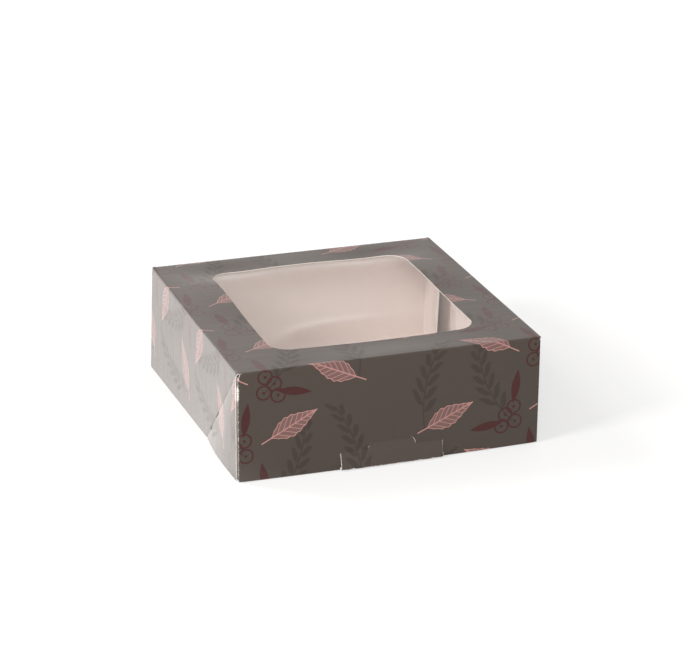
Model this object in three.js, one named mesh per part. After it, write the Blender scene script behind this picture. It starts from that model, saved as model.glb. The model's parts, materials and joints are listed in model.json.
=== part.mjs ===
// Cake box: a glued-corner folding carton, with a clear window in its hinged lid.
// The tray's four corners and the lid's two front corners are glued. A lid skirt covers the tray on three
// sides, and a lock tab in the front skirt rocks its tongue into a slot in the tray's front wall.
// Millimetres, +Z up, the front towards -Y. The origin is under the middle of the closed box.

import * as THREE from 'three';

// The outside of the closed box
const BOX_WIDTH = 207;
const BOX_DEPTH = 207;
const BOX_HEIGHT = 75;

// The sheet materials
const BOARD = 0.5;
const FILM = 0.15;
const GLUE = 0.1;

// The room at creases, cut lines and glued faces
const CREASE_GAP = 0.3;
const SLIT_GAP = 0.3;
const GLUE_CLEARANCE = 0.02;

// The fit of the lid over the tray
const SIDE_SLACK = 0.9;
const FRONT_SLACK = 1.5;
const SKIRT_LIFT = 0.5;
const SKIRT_REAR_RELIEF = 0.5;

// The glued corners
const LID_TAB_WIDTH = 32;
const TRAY_TAB_WIDTH = 54;
const GLUE_TAB_RELIEF = 1;
const GLUE_TAB_CHAMFER = 9;
const GLUE_MARGIN = 4;
const GLUE_WIDTH = 14;

// The window in the lid
const WINDOW_WIDTH = 141;
const WINDOW_DEPTH = 152;
const WINDOW_SHIFT = 2;
const WINDOW_CORNER_RADIUS = 14;
const FILM_OVERLAP = 9;
const FILM_GLUE_WIDTH = 6;
const FILM_GLUE_INSET = 1.5;

// The lock tab in the front skirt, and the slot that its tongue goes into
const LOCK_WIDTH = 70;
const LOCK_CREASE_HEIGHT = 12;
const TONGUE_WIDTH = 32;
const TONGUE_HEIGHT = 5;
const TONGUE_CORNER_RADIUS = 4;
const LOCK_KICK_DEGREES = 12;
const SLOT_CLEARANCE = 2;
const SLOT_BELOW_CREASE = 0.5;
const SLOT_ABOVE_TONGUE = 1.5;

// Segments on each rounded corner
const CORNER_SEGMENTS = 8;

// Faces of the closed lid
const halfWidth = BOX_WIDTH / 2;
const front = -BOX_DEPTH / 2;
const back = BOX_DEPTH / 2;
const lidUnder = BOX_HEIGHT - BOARD;
const skirtTop = lidUnder - CREASE_GAP;
const skirtRear = back - SKIRT_REAR_RELIEF;
const skirtHeight = skirtTop - SKIRT_LIFT;
const lidInside = halfWidth - BOARD;

// Two sheets glued face to face
const gluedGap = GLUE + 2 * GLUE_CLEARANCE;
const lidTabOutside = lidInside - gluedGap;
const lidTabInside = lidTabOutside - BOARD;

// Faces of the tray, inside the lid
const trayHalfWidth = lidTabInside - SIDE_SLACK;
const trayFront = front + BOARD + FRONT_SLACK;
const wallBottom = BOARD + CREASE_GAP;
const wallTop = skirtTop;
const wallHeight = wallTop - wallBottom;
const trayTabOutside = trayHalfWidth - BOARD - gluedGap;
const trayTabInside = trayTabOutside - BOARD;

// A diagonal crease runs at 45 degrees, so its gap is this long along either edge of the panel.
const diagonalGap = CREASE_GAP * Math.SQRT2;

const printedBoard = new THREE.MeshStandardMaterial({ color: 0x5c534d, roughness: 0.5, metalness: 0 });
const clearFilm = new THREE.MeshStandardMaterial({
  color: 0xf4f0ec, roughness: 0.08, metalness: 0, transparent: true, opacity: 0.2,
});
const glue = new THREE.MeshStandardMaterial({ color: 0xefe6d2, roughness: 0.6, metalness: 0 });

function polygon(points) {
  return new THREE.Shape(points.map(([u, v]) => new THREE.Vector2(u, v)));
}

// Traces a rectangle with round corners, centred across u = 0 and v = centre.
function roundedRectangle(path, width, height, radius, centre) {
  const u = width / 2 - radius;
  const v = height / 2 - radius;
  const quarter = Math.PI / 2;
  path.absarc(u, centre + v, radius, 0, quarter);
  path.absarc(-u, centre + v, radius, quarter, 2 * quarter);
  path.absarc(-u, centre - v, radius, 2 * quarter, 3 * quarter);
  path.absarc(u, centre - v, radius, 3 * quarter, 4 * quarter);
  path.closePath();
  return path;
}

// A flat sheet of the outline's shape, extruded from its lower face.
function sheet(name, outline, thickness, material) {
  const geometry = new THREE.ExtrudeGeometry(outline, {
    depth: thickness, bevelEnabled: false, curveSegments: CORNER_SEGMENTS,
  });
  const mesh = new THREE.Mesh(geometry, material.clone());
  mesh.name = name;
  return mesh;
}

// Lays a sheet level: the outline's u and v are X and Y.
function level(mesh, bottom) {
  mesh.position.z = bottom;
  return mesh;
}

// Stands a sheet facing the front: the outline's u and v are X and Z.
function facingFront(mesh, frontFace, thickness) {
  mesh.rotation.x = Math.PI / 2;
  mesh.position.y = frontFace + thickness;
  return mesh;
}

// Stands a sheet facing sideways: the outline's u and v are Y and Z.
// side is -1 on the left and 1 on the right, and the faces are distances from the middle of the box.
function facingSide(mesh, side, insideFace, thickness) {
  const sideways = new THREE.Matrix4().makeBasis(
    new THREE.Vector3(0, 1, 0), new THREE.Vector3(0, 0, 1), new THREE.Vector3(1, 0, 0),
  );
  mesh.setRotationFromMatrix(sideways);
  mesh.position.x = side > 0 ? insideFace : -insideFace - thickness;
  return mesh;
}

const SIDES = [{ name: 'left', side: -1 }, { name: 'right', side: 1 }];

// At each end of the tray, the corner's outside edge and the way into the box from there.
const ENDS = [
  { name: 'front', edge: trayFront, inward: 1 },
  { name: 'back', edge: back, inward: -1 },
];

// The tray: its base, its front and back walls, and its side walls with their glued corners

function basePanel() {
  const outline = polygon([
    [-trayHalfWidth, trayFront], [trayHalfWidth, trayFront], [trayHalfWidth, back], [-trayHalfWidth, back],
  ]);
  return level(sheet('base_panel', outline, BOARD, printedBoard), 0);
}

function wallOutline() {
  return polygon([
    [-trayTabOutside, wallBottom], [trayTabOutside, wallBottom],
    [trayTabOutside, wallTop], [-trayTabOutside, wallTop],
  ]);
}

function trayFrontWall() {
  const outline = wallOutline();
  const halfSlot = TONGUE_WIDTH / 2 + SLOT_CLEARANCE;
  const slotBottom = LOCK_CREASE_HEIGHT - SLOT_BELOW_CREASE;
  const slotTop = LOCK_CREASE_HEIGHT + TONGUE_HEIGHT + SLOT_ABOVE_TONGUE;
  outline.holes.push(polygon([
    [-halfSlot, slotBottom], [halfSlot, slotBottom], [halfSlot, slotTop], [-halfSlot, slotTop],
  ]));
  return facingFront(sheet('tray_front_wall', outline, BOARD, printedBoard), trayFront, BOARD);
}

function trayBackWall() {
  return facingFront(sheet('tray_back_wall', wallOutline(), BOARD, printedBoard), back - BOARD, BOARD);
}

// A side wall between the diagonal creases that rise from its two bottom corners.
function traySideWall({ name, side }) {
  const frontFoot = trayFront + diagonalGap / 2;
  const backFoot = back - diagonalGap / 2;
  const outline = polygon([
    [frontFoot, wallBottom], [backFoot, wallBottom],
    [backFoot - wallHeight, wallTop], [frontFoot + wallHeight, wallTop],
  ]);
  return facingSide(
    sheet(`tray_${name}_wall`, outline, BOARD, printedBoard), side, trayHalfWidth - BOARD, BOARD,
  );
}

// The triangle of a side wall above a diagonal crease, which is glued to the corner's tab.
function trayGusset({ name, side }, end) {
  const foot = wallBottom + diagonalGap / 2;
  const outline = polygon([
    [end.edge, foot], [end.edge + end.inward * (wallTop - foot), wallTop], [end.edge, wallTop],
  ]);
  return facingSide(
    sheet(`tray_${end.name}_${name}_gusset`, outline, BOARD, printedBoard),
    side, trayHalfWidth - BOARD, BOARD,
  );
}

// A tab folded off the end of the front or back wall, lying inside the side wall.
function trayGlueTab({ name, side }, end) {
  const crease = end.edge + end.inward * (BOARD + CREASE_GAP);
  const tip = crease + end.inward * TRAY_TAB_WIDTH;
  const bottom = wallBottom + GLUE_TAB_RELIEF;
  const top = wallTop - GLUE_TAB_RELIEF;
  const outline = polygon([
    [crease, bottom], [tip - end.inward * GLUE_TAB_CHAMFER, bottom], [tip, bottom + GLUE_TAB_CHAMFER],
    [tip, top], [crease, top],
  ]);
  return facingSide(
    sheet(`tray_${end.name}_${name}_glue_tab`, outline, BOARD, printedBoard), side, trayTabInside, BOARD,
  );
}

// Glue between a tab and its gusset, kept clear of the diagonal crease.
function trayGluePatch({ name, side }, end) {
  const crease = end.edge + end.inward * (BOARD + CREASE_GAP);
  const near = crease + end.inward * GLUE_MARGIN;
  const far = near + end.inward * GLUE_WIDTH;
  const top = wallTop - GLUE_TAB_RELIEF - GLUE_MARGIN;
  const aboveDiagonal = (v) => wallBottom + Math.abs(v - end.edge) + GLUE_MARGIN;
  const outline = polygon([
    [near, aboveDiagonal(near)], [far, aboveDiagonal(far)], [far, top], [near, top],
  ]);
  return facingSide(
    sheet(`tray_${end.name}_${name}_glue_patch`, outline, GLUE, glue),
    side, trayTabOutside + GLUE_CLEARANCE, GLUE,
  );
}

// The lid: its panel, its skirts with their glued corners, and its window

function windowHole() {
  return roundedRectangle(new THREE.Path(), WINDOW_WIDTH, WINDOW_DEPTH, WINDOW_CORNER_RADIUS, WINDOW_SHIFT);
}

function lidPanel() {
  const outline = polygon([[-halfWidth, front], [halfWidth, front], [halfWidth, back], [-halfWidth, back]]);
  outline.holes.push(windowHole());
  return level(sheet('lid_panel', outline, BOARD, printedBoard), lidUnder);
}

// A rounded rectangle that runs past the window's edge by the same distance all round.
function aroundWindow(path, overlap) {
  return roundedRectangle(
    path, WINDOW_WIDTH + 2 * overlap, WINDOW_DEPTH + 2 * overlap, WINDOW_CORNER_RADIUS + overlap, WINDOW_SHIFT,
  );
}

function windowFilm() {
  const outline = aroundWindow(new THREE.Shape(), FILM_OVERLAP);
  return level(sheet('window_film', outline, FILM, clearFilm), lidUnder - gluedGap - FILM);
}

function filmGlueBand() {
  const outline = aroundWindow(new THREE.Shape(), FILM_GLUE_INSET + FILM_GLUE_WIDTH);
  outline.holes.push(aroundWindow(new THREE.Path(), FILM_GLUE_INSET));
  return level(sheet('film_glue_band', outline, GLUE, glue), lidUnder - gluedGap + GLUE_CLEARANCE);
}

// Traces the top of the lock tab's tongue, which stands above v = crease between round corners.
// With a slit's width around it, this is the top of the cut-out that the tongue sits in.
function lockTongue(path, crease, slit) {
  const halfTongue = TONGUE_WIDTH / 2 + slit;
  const top = crease + TONGUE_HEIGHT + slit;
  const radius = Math.min(TONGUE_CORNER_RADIUS, TONGUE_HEIGHT) + slit;
  path.absarc(halfTongue - radius, top - radius, radius, 0, Math.PI / 2);
  path.absarc(-halfTongue + radius, top - radius, radius, Math.PI / 2, Math.PI);
}

function lidFrontSkirt() {
  const halfNotch = LOCK_WIDTH / 2 + SLIT_GAP;
  const notchTop = LOCK_CREASE_HEIGHT + CREASE_GAP / 2;
  const cutOut = new THREE.Path();
  lockTongue(cutOut, LOCK_CREASE_HEIGHT, SLIT_GAP);
  const tongueCut = cutOut.getPoints(CORNER_SEGMENTS).map((p) => [p.x, p.y]);
  const halfTongueCut = TONGUE_WIDTH / 2 + SLIT_GAP;
  const outline = polygon([
    [lidTabOutside, SKIRT_LIFT], [lidTabOutside, skirtTop], [-lidTabOutside, skirtTop],
    [-lidTabOutside, SKIRT_LIFT], [-halfNotch, SKIRT_LIFT], [-halfNotch, notchTop],
    [-halfTongueCut, notchTop], ...tongueCut.reverse(), [halfTongueCut, notchTop],
    [halfNotch, notchTop], [halfNotch, SKIRT_LIFT],
  ]);
  return facingFront(sheet('lid_front_skirt', outline, BOARD, printedBoard), front, BOARD);
}

// The tab is drawn about its crease, and turned there as the photographed one stands.
function lockTab() {
  const bottom = SKIRT_LIFT - LOCK_CREASE_HEIGHT;
  const shoulder = -CREASE_GAP / 2;
  const halfTab = LOCK_WIDTH / 2;
  const halfTongue = TONGUE_WIDTH / 2;
  const tongue = new THREE.Path();
  lockTongue(tongue, 0, 0);
  const outline = polygon([
    [-halfTab, bottom], [halfTab, bottom], [halfTab, shoulder], [halfTongue, shoulder],
    ...tongue.getPoints(CORNER_SEGMENTS).map((p) => [p.x, p.y]),
    [-halfTongue, shoulder], [-halfTab, shoulder],
  ]);
  const crease = new THREE.Group();
  crease.position.set(0, front, LOCK_CREASE_HEIGHT);
  crease.rotation.x = -THREE.MathUtils.degToRad(LOCK_KICK_DEGREES);
  crease.add(facingFront(sheet('lock_tab', outline, BOARD, printedBoard), 0, BOARD));
  return crease;
}

// A side skirt behind the diagonal crease that falls from its top front corner.
function lidSideSkirt({ name, side }) {
  const top = front + diagonalGap / 2;
  const outline = polygon([
    [top, skirtTop], [top + skirtHeight, SKIRT_LIFT], [skirtRear, SKIRT_LIFT], [skirtRear, skirtTop],
  ]);
  return facingSide(sheet(`lid_${name}_skirt`, outline, BOARD, printedBoard), side, lidInside, BOARD);
}

function lidGusset({ name, side }) {
  const top = skirtTop - diagonalGap / 2;
  const outline = polygon([[front, top], [front, SKIRT_LIFT], [front + top - SKIRT_LIFT, SKIRT_LIFT]]);
  return facingSide(sheet(`lid_${name}_gusset`, outline, BOARD, printedBoard), side, lidInside, BOARD);
}

// A tab folded back off the end of the front skirt, cut to lie within the gusset.
const lidTabCrease = front + BOARD + CREASE_GAP;
const belowLidDiagonal = (v, margin) => skirtTop - (v - front) - margin;

function lidGlueTab({ name, side }) {
  const tip = lidTabCrease + LID_TAB_WIDTH;
  const bottom = SKIRT_LIFT + GLUE_TAB_RELIEF;
  const outline = polygon([
    [lidTabCrease, bottom], [tip, bottom], [tip, belowLidDiagonal(tip, GLUE_TAB_RELIEF)],
    [lidTabCrease, belowLidDiagonal(lidTabCrease, GLUE_TAB_RELIEF)],
  ]);
  return facingSide(sheet(`lid_${name}_glue_tab`, outline, BOARD, printedBoard), side, lidTabInside, BOARD);
}

function lidGluePatch({ name, side }) {
  const near = lidTabCrease + GLUE_MARGIN;
  const far = near + GLUE_WIDTH;
  const bottom = SKIRT_LIFT + GLUE_TAB_RELIEF + GLUE_MARGIN;
  const margin = GLUE_TAB_RELIEF + GLUE_MARGIN;
  const outline = polygon([
    [near, bottom], [far, bottom], [far, belowLidDiagonal(far, margin)], [near, belowLidDiagonal(near, margin)],
  ]);
  return facingSide(
    sheet(`lid_${name}_glue_patch`, outline, GLUE, glue), side, lidTabOutside + GLUE_CLEARANCE, GLUE,
  );
}

const tray = new THREE.Group();
tray.add(basePanel(), trayFrontWall(), trayBackWall());
for (const hand of SIDES) {
  tray.add(traySideWall(hand));
  for (const end of ENDS) {
    tray.add(trayGusset(hand, end), trayGlueTab(hand, end), trayGluePatch(hand, end));
  }
}

const lid = new THREE.Group();
lid.add(lidPanel(), windowFilm(), filmGlueBand(), lidFrontSkirt(), lockTab());
for (const hand of SIDES) {
  lid.add(lidSideSkirt(hand), lidGusset(hand), lidGlueTab(hand), lidGluePatch(hand));
}

const cakeBox = new THREE.Group();
cakeBox.add(tray, lid);

export default cakeBox;
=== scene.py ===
"""A printed folding-board cake box with a window lid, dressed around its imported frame.

Every panel is a closed sheet of board with rounded folds, raw cut edges and a print that runs on from panel
to panel, as it does on the flat blank. Lengths are in metres, and the box stands on z = 0 with its front
towards -y.
"""

import json
import math
from dataclasses import dataclass, field
from functools import cache, partial

import bpy
import numpy as np
from mathutils import Matrix, Vector
from mathutils.geometry import delaunay_2d_cdt


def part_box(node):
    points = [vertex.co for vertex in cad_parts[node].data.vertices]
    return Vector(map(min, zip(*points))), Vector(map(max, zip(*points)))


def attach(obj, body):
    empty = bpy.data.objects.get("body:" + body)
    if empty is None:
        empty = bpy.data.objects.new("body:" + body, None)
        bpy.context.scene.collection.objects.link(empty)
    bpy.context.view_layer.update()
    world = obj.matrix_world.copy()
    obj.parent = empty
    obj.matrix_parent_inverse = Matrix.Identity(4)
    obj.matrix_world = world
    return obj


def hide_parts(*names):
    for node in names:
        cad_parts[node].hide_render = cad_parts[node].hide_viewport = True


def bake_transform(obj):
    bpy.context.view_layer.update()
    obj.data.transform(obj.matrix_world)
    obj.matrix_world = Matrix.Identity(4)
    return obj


bl_info = {
    "name": "Cake Box",
    "version": (1, 0, 0),
    "blender": (4, 5, 0),
    "location": "View3D > Sidebar > Cake Box",
    "description": "Builds a printed folding-board cake box with a window lid",
    "category": "Add Mesh",
}

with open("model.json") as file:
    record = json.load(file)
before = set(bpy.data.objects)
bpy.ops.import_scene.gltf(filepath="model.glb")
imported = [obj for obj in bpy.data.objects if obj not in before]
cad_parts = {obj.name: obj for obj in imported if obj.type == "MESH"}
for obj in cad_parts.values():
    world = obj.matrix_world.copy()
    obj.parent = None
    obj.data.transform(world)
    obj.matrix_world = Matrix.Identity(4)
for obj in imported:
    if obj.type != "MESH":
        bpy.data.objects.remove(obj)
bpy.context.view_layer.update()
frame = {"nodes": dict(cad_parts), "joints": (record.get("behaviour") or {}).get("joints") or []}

MM = 0.001
OPEN = math.inf

# Faces of the box, read from the frame
LID_LOW, LID_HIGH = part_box("lid_panel")
BASE_LOW, BASE_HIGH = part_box("base_panel")
_, WALL_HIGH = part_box("tray_back_wall")
SKIRT_LOW, SKIRT_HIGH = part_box("lid_left_skirt")
_, FRONT_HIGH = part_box("lid_front_skirt")
FILM_LOW, FILM_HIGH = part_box("window_film")
BAND_LOW, BAND_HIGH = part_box("film_glue_band")
LID_TAB_LOW, LID_TAB_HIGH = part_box("lid_right_glue_tab")
TRAY_TAB_LOW, TRAY_TAB_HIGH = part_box("tray_back_right_glue_tab")
LOCK_PIVOT = next(joint["pos_m"] for joint in frame["joints"] if joint["child"] == "lock_tab")

HALF_WIDTH = LID_HIGH.x
FRONT, BACK, TOP = LID_LOW.y, LID_HIGH.y, LID_HIGH.z
BOARD = LID_HIGH.z - LID_LOW.z
SKIRT_BOTTOM, SKIRT_REAR = SKIRT_LOW.z, SKIRT_HIGH.y
FRONT_HALF = FRONT_HIGH.x
TRAY_HALF, TRAY_FRONT = BASE_HIGH.x, BASE_LOW.y
WALL_HALF, WALL_TOP = WALL_HIGH.x, WALL_HIGH.z
LOCK_CREASE = LOCK_PIVOT[2]

# Cuts in the board that the frame's boxes don't give
FILM_OVERLAP = 9 * MM
BAND_INSET = 1.5 * MM
WINDOW_CORNER = 14 * MM
WINDOW_LOW = (FILM_LOW.x + FILM_OVERLAP, FILM_LOW.y + FILM_OVERLAP)
WINDOW_HIGH = (FILM_HIGH.x - FILM_OVERLAP, FILM_HIGH.y - FILM_OVERLAP)
LOCK_HALF = 35 * MM
TONGUE_HALF = 16 * MM
TONGUE_HEIGHT = 5 * MM
TONGUE_CORNER = 4 * MM
LOCK_KICK = math.radians(12)
SLIT = 0.3 * MM
SLIT_END = 0.6 * MM
SLOT_CLEARANCE = 2 * MM
SLOT_BELOW_CREASE = 0.5 * MM
SLOT_ABOVE_TONGUE = 1.5 * MM
RELIEF_WIDTH = 1.3 * MM
RELIEF_HEIGHT = 3.6 * MM
GUSSET_SETBACK = 3.1 * MM
TAB_CHAMFER = 9 * MM
TAB_GLUED = 19 * MM
TAB_REACH = BACK - TRAY_TAB_LOW.y

# Mesh of a sheet: the spacing of its points, and closer rows that follow its edges and creases
GRID = 4 * MM
EDGE_ROWS = (0.3 * MM, 0.6 * MM, 0.9 * MM, 1.8 * MM)
SLIT_ROWS = EDGE_ROWS[1:3]
SLIT_ROW_FOOT = SKIRT_BOTTOM + 1 * MM
HINGE_ROW = 0.35 * MM
LEAST_SPACING = 0.2 * MM
SAME_POINT = 1e-7
CORNER_POINTS = 10


def linear(code):
    """The linear colour of an sRGB hex code."""
    parts = [int(code[i:i + 2], 16) / 255 for i in (1, 3, 5)]
    return [c / 12.92 if c <= 0.04045 else ((c + 0.055) / 1.055) ** 2.4 for c in parts]


def opaque(colour):
    """A colour as the four numbers that a shader's socket takes."""
    return (*colour, 1.0)


WHITE = opaque(linear("#FFFFFF"))


class CakeBoxBoard(bpy.types.PropertyGroup):
    """How the board was folded, and how handling has bent it"""

    fold_radius: bpy.props.FloatProperty(
        name="Fold radius", description="Outside radius of a folded crease",
        default=0.9 * MM, min=0.6 * MM, unit="LENGTH", precision=5)
    crease_depth: bpy.props.FloatProperty(
        name="Crease depth", description="How far a diagonal crease is pressed into the board",
        default=0.15 * MM, unit="LENGTH", precision=5)
    crease_reach: bpy.props.FloatProperty(
        name="Crease reach", description="Half the width of the groove of a diagonal crease",
        default=0.9 * MM, unit="LENGTH", precision=5)
    hinge_reach: bpy.props.FloatProperty(
        name="Hinge reach", description="How far the board bends either side of the lid's hinge",
        default=2.5 * MM, unit="LENGTH", precision=5)
    left_flare: bpy.props.FloatProperty(
        name="Left flare", description="How far the left skirt's rear bottom corner stands out",
        default=2.6 * MM, unit="LENGTH", precision=5)
    right_flare: bpy.props.FloatProperty(
        name="Right flare", description="How far the right skirt's rear bottom corner stands out",
        default=1.4 * MM, unit="LENGTH", precision=5)
    gusset_dent: bpy.props.FloatProperty(
        name="Gusset dent", description="How far the diagonal crease is pushed in at its lower end",
        default=0.9 * MM, unit="LENGTH", precision=5)
    dent_reach: bpy.props.FloatProperty(
        name="Dent reach", description="How far the dent spreads in front of the crease",
        default=18 * MM, unit="LENGTH", precision=5)
    gusset_swell: bpy.props.FloatProperty(
        name="Gusset swell", description="How far the gusset's lower edge swells out in front of the crease",
        default=1.2 * MM, unit="LENGTH", precision=5)
    front_bulge: bpy.props.FloatProperty(
        name="Front bulge", description="How far the front skirt's bottom edge bows out at its middle",
        default=1.6 * MM, unit="LENGTH", precision=5)
    window_warp: bpy.props.FloatProperty(
        name="Window warp", description="How far the lid's board warps up or down round the window",
        default=1.7 * MM, unit="LENGTH", precision=5)
    tab_spring: bpy.props.FloatProperty(
        name="Tab spring",
        description="How far the free edge of the tray's back right glue tab stands off its wall",
        default=10.4 * MM, unit="LENGTH", precision=5)
    film_ripple: bpy.props.FloatProperty(
        name="Film ripple", description="About half the height of the ridges in the window film",
        default=1.25 * MM, unit="LENGTH", precision=5)


class CakeBoxPrint(bpy.types.PropertyGroup):
    """Inks and spacing of the print"""

    ground: bpy.props.FloatVectorProperty(
        name="Ground", description="Ink all over the board", subtype="COLOR", default=linear("#413730"))
    spray: bpy.props.FloatVectorProperty(
        name="Spray", description="Darker ink of the leafy sprays", subtype="COLOR",
        default=linear("#372D26"))
    rose: bpy.props.FloatVectorProperty(
        name="Rose", description="Ink inside the rose leaves", subtype="COLOR", default=linear("#6E504C"))
    rose_line: bpy.props.FloatVectorProperty(
        name="Rose line", description="Ink of the rose leaves' outlines and veins", subtype="COLOR",
        default=linear("#AA7A74"))
    berry: bpy.props.FloatVectorProperty(
        name="Berry", description="Dark red ink of the berries", subtype="COLOR", default=linear("#3C0E0B"))
    repeat_width: bpy.props.FloatProperty(
        name="Repeat width", description="Distance from one column of the print to the next",
        default=92 * MM, unit="LENGTH", precision=4)
    repeat_height: bpy.props.FloatProperty(
        name="Repeat height", description="Distance from one motif to the next in a column",
        default=84 * MM, unit="LENGTH", precision=4)


class CakeBoxStage(bpy.types.PropertyGroup):
    """The camera's place, and the light"""

    lens: bpy.props.FloatProperty(
        name="Lens", description="Focal length of the camera in millimetres", default=126.3, unit="CAMERA")
    azimuth: bpy.props.FloatProperty(
        name="Azimuth", description="Turn of the camera about the box, from the front towards the right",
        default=math.radians(-19.23), subtype="ANGLE")
    elevation: bpy.props.FloatProperty(
        name="Elevation", description="Height angle of the camera",
        default=math.radians(21.32), subtype="ANGLE")
    roll: bpy.props.FloatProperty(
        name="Roll", description="Tilt of the camera about its own line of sight",
        default=math.radians(0.46), subtype="ANGLE")
    distance: bpy.props.FloatProperty(
        name="Distance", description="Distance from the camera to the point it looks at",
        default=1.712, unit="LENGTH")
    target: bpy.props.FloatVectorProperty(
        name="Target", description="Point that the camera looks at", subtype="XYZ",
        default=(21.24 * MM, 40.1 * MM, 37.72 * MM))
    floor: bpy.props.FloatVectorProperty(
        name="Floor", description="Colour of the floor", subtype="COLOR", default=linear("#E9E8E6"))
    floor_glow: bpy.props.FloatProperty(
        name="Floor glow", description="Share of the floor's white that is its own in the camera's view",
        default=0.45, min=0.0, max=1.0, subtype="FACTOR")
    # Painted glow: the box's gloss sees the floor at this brightness, not as its lamps light it
    floor_mirror: bpy.props.FloatProperty(
        name="Floor mirror", description="Brightness of the overexposed floor where the box mirrors it",
        default=1.68, min=0.0)
    ambient: bpy.props.FloatProperty(
        name="Ambient", description="Strength of the even light all round", default=0.6, min=0.0)
    mirror_tint: bpy.props.FloatVectorProperty(
        name="Mirror tint", description="Colour of the studio in mirrors, a little warm", subtype="COLOR",
        default=linear("#FFFAF7"))
    overhead: bpy.props.FloatProperty(
        name="Overhead", description="Brightness overhead of the backdrop that is seen in mirrors",
        default=0.5, min=0.0, max=1.0, subtype="FACTOR")
    key_power: bpy.props.FloatProperty(
        name="Key light", description="Power of the softbox at the front on the left",
        default=9.0, min=0.0, unit="POWER")
    side_power: bpy.props.FloatProperty(
        name="Side light", description="Power of the softbox on the left",
        default=13.0, min=0.0, unit="POWER")
    back_power: bpy.props.FloatProperty(
        name="Back light", description="Power of the softbox behind on the left",
        default=8.0, min=0.0, unit="POWER")


def add_node(tree, kind, *inputs, **settings):
    """Adds a node to a tree, with its settings and links.

    A kind of math is followed by its operation. Inputs come in the order of the node's open sockets, or as
    one dict by name. Each is a value, or a node or socket to link from, and a node stands for its first open
    output.
    """
    kind, *operation = kind.split()
    node = tree.nodes.new("ShaderNode" + kind)
    for name in operation:
        node.operation = name
    for name, value in settings.items():
        setattr(node, name, value)
    sockets = [socket for socket in node.inputs if socket.enabled]
    if inputs and isinstance(inputs[0], dict):
        sockets = [node.inputs[name] for name in inputs[0]]
        inputs = inputs[0].values()
    for socket, value in zip(sockets, inputs):
        if isinstance(value, bpy.types.Node):
            value = next(output for output in value.outputs if output.enabled)
        if isinstance(value, bpy.types.NodeSocket):
            tree.links.new(value, socket)
        else:
            socket.default_value = value
    return node


def new_material(name, make_surface):
    """A node material. Its surface comes from a function that takes add_node for its tree."""
    material = bpy.data.materials.new(name)
    material.use_nodes = True
    tree = material.node_tree
    tree.nodes.clear()
    add = partial(add_node, tree)
    add("OutputMaterial", make_surface(add))
    return material


def print_cell(add, prints):
    """Where a point of the blank lies in its cell of the half-drop repeat, in mm from the cell's middle.

    Every second column is mirrored and drops by half a repeat.
    """
    width, height = prints.repeat_width / MM, prints.repeat_height / MM
    blank = add("UVMap", uv_map="Blank")
    spot = add("VectorMath SCALE", blank, 1 / MM)
    parts = add("SeparateXYZ", spot)
    column = add("Math DIVIDE", parts.outputs["X"], width)
    number = add("Math FLOOR", column)
    odd = add("Math FLOORED_MODULO", number, 2.0)
    mirror = add("Math MULTIPLY_ADD", odd, -2.0, 1.0)
    row = add("Math DIVIDE", parts.outputs["Y"], height)
    row = add("Math MULTIPLY_ADD", odd, 0.5, row)
    places = []
    for run, size in ((column, width), (row, height)):
        share = add("Math FRACT", run)
        share = add("Math SUBTRACT", share, 0.5)
        places.append(add("Math MULTIPLY", share, size))
    across = add("Math MULTIPLY", places[0], mirror)
    return add("CombineXYZ", across, places[1])


def motif_axes(add, cell, centre, degrees):
    """A motif's own axes: the distance along it from its middle, and across it, in millimetres."""
    turn = (0.0, 0.0, math.radians(degrees))
    parts = add("SeparateXYZ", add("Mapping", cell, (*centre, 0.0), turn, vector_type="TEXTURE"))
    return parts.outputs["X"], parts.outputs["Y"]


def leaf_swell(add, along, length):
    """A pointed leaf's turn along its length, the same held at its tips, and its width there from 0 to 1."""
    turn = add("Math MULTIPLY", along, math.pi / length)
    held = add("Clamp", turn, -math.pi / 2, math.pi / 2)
    return turn, held, add("Math COSINE", held)


# A rose leaf of the print, in millimetres
LEAF_LENGTH, LEAF_HALF_WIDTH = 35.0, 6.9
LEAF_LINE, LEAF_MIDRIB = 0.6, 0.4
LEAF_VEIN_SPACING, LEAF_VEIN_SHARE, LEAF_VEIN_SLANT = 4.4, 0.14, 1.1
LEAF_WAVES, LEAF_WAVE_HEIGHT = 7.0, 0.06
LEAF_FULLNESS = 0.32
LEAF_STALK = 7.0
ROSE_LEAVES = (((-6.0, -24.0), 24.0), ((20.0, 26.0), 152.0))


def rose_leaf(add, cell, centre, degrees):
    """A pointed leaf with a wavy edge, a midrib that runs on as the stalk, and slanting veins.

    Returns where its blade is, and where its lines are.
    """
    along, across = motif_axes(add, cell, centre, degrees)
    side = add("Math ABSOLUTE", across)
    turn, held, swell = leaf_swell(add, along, LEAF_LENGTH)
    lean = add("Math SINE", held)
    lean = add("Math MULTIPLY_ADD", lean, -LEAF_FULLNESS, 1.0)
    swell = add("Math MULTIPLY", swell, lean)
    wave = add("Math MULTIPLY", turn, LEAF_WAVES * 2)
    wave = add("Math SINE", wave)
    wave = add("Math MULTIPLY_ADD", wave, LEAF_WAVE_HEIGHT, 1.0)
    edge = add("Math MULTIPLY", swell, LEAF_HALF_WIDTH)
    edge = add("Math MULTIPLY", edge, wave)
    inset = add("Math SUBTRACT", edge, side)
    blade = add("Math GREATER_THAN", inset, 0.0)
    rim = add("Math LESS_THAN", inset, LEAF_LINE)
    slant = add("Math MULTIPLY_ADD", side, -LEAF_VEIN_SLANT, along)
    slant = add("Math DIVIDE", slant, LEAF_VEIN_SPACING)
    slant = add("Math FRACT", slant)
    vein = add("Math LESS_THAN", slant, LEAF_VEIN_SHARE)
    line = add("Math MAXIMUM", rim, vein)
    line = add("Math MULTIPLY", line, blade)
    rib = add("Math LESS_THAN", side, LEAF_MIDRIB)
    middle = add("Math ADD", along, LEAF_STALK / 2)
    within = add("Math COMPARE", middle, 0.0, (LEAF_LENGTH + LEAF_STALK) / 2)
    rib = add("Math MULTIPLY", rib, within)
    return blade, add("Math MAXIMUM", line, rib)


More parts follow.
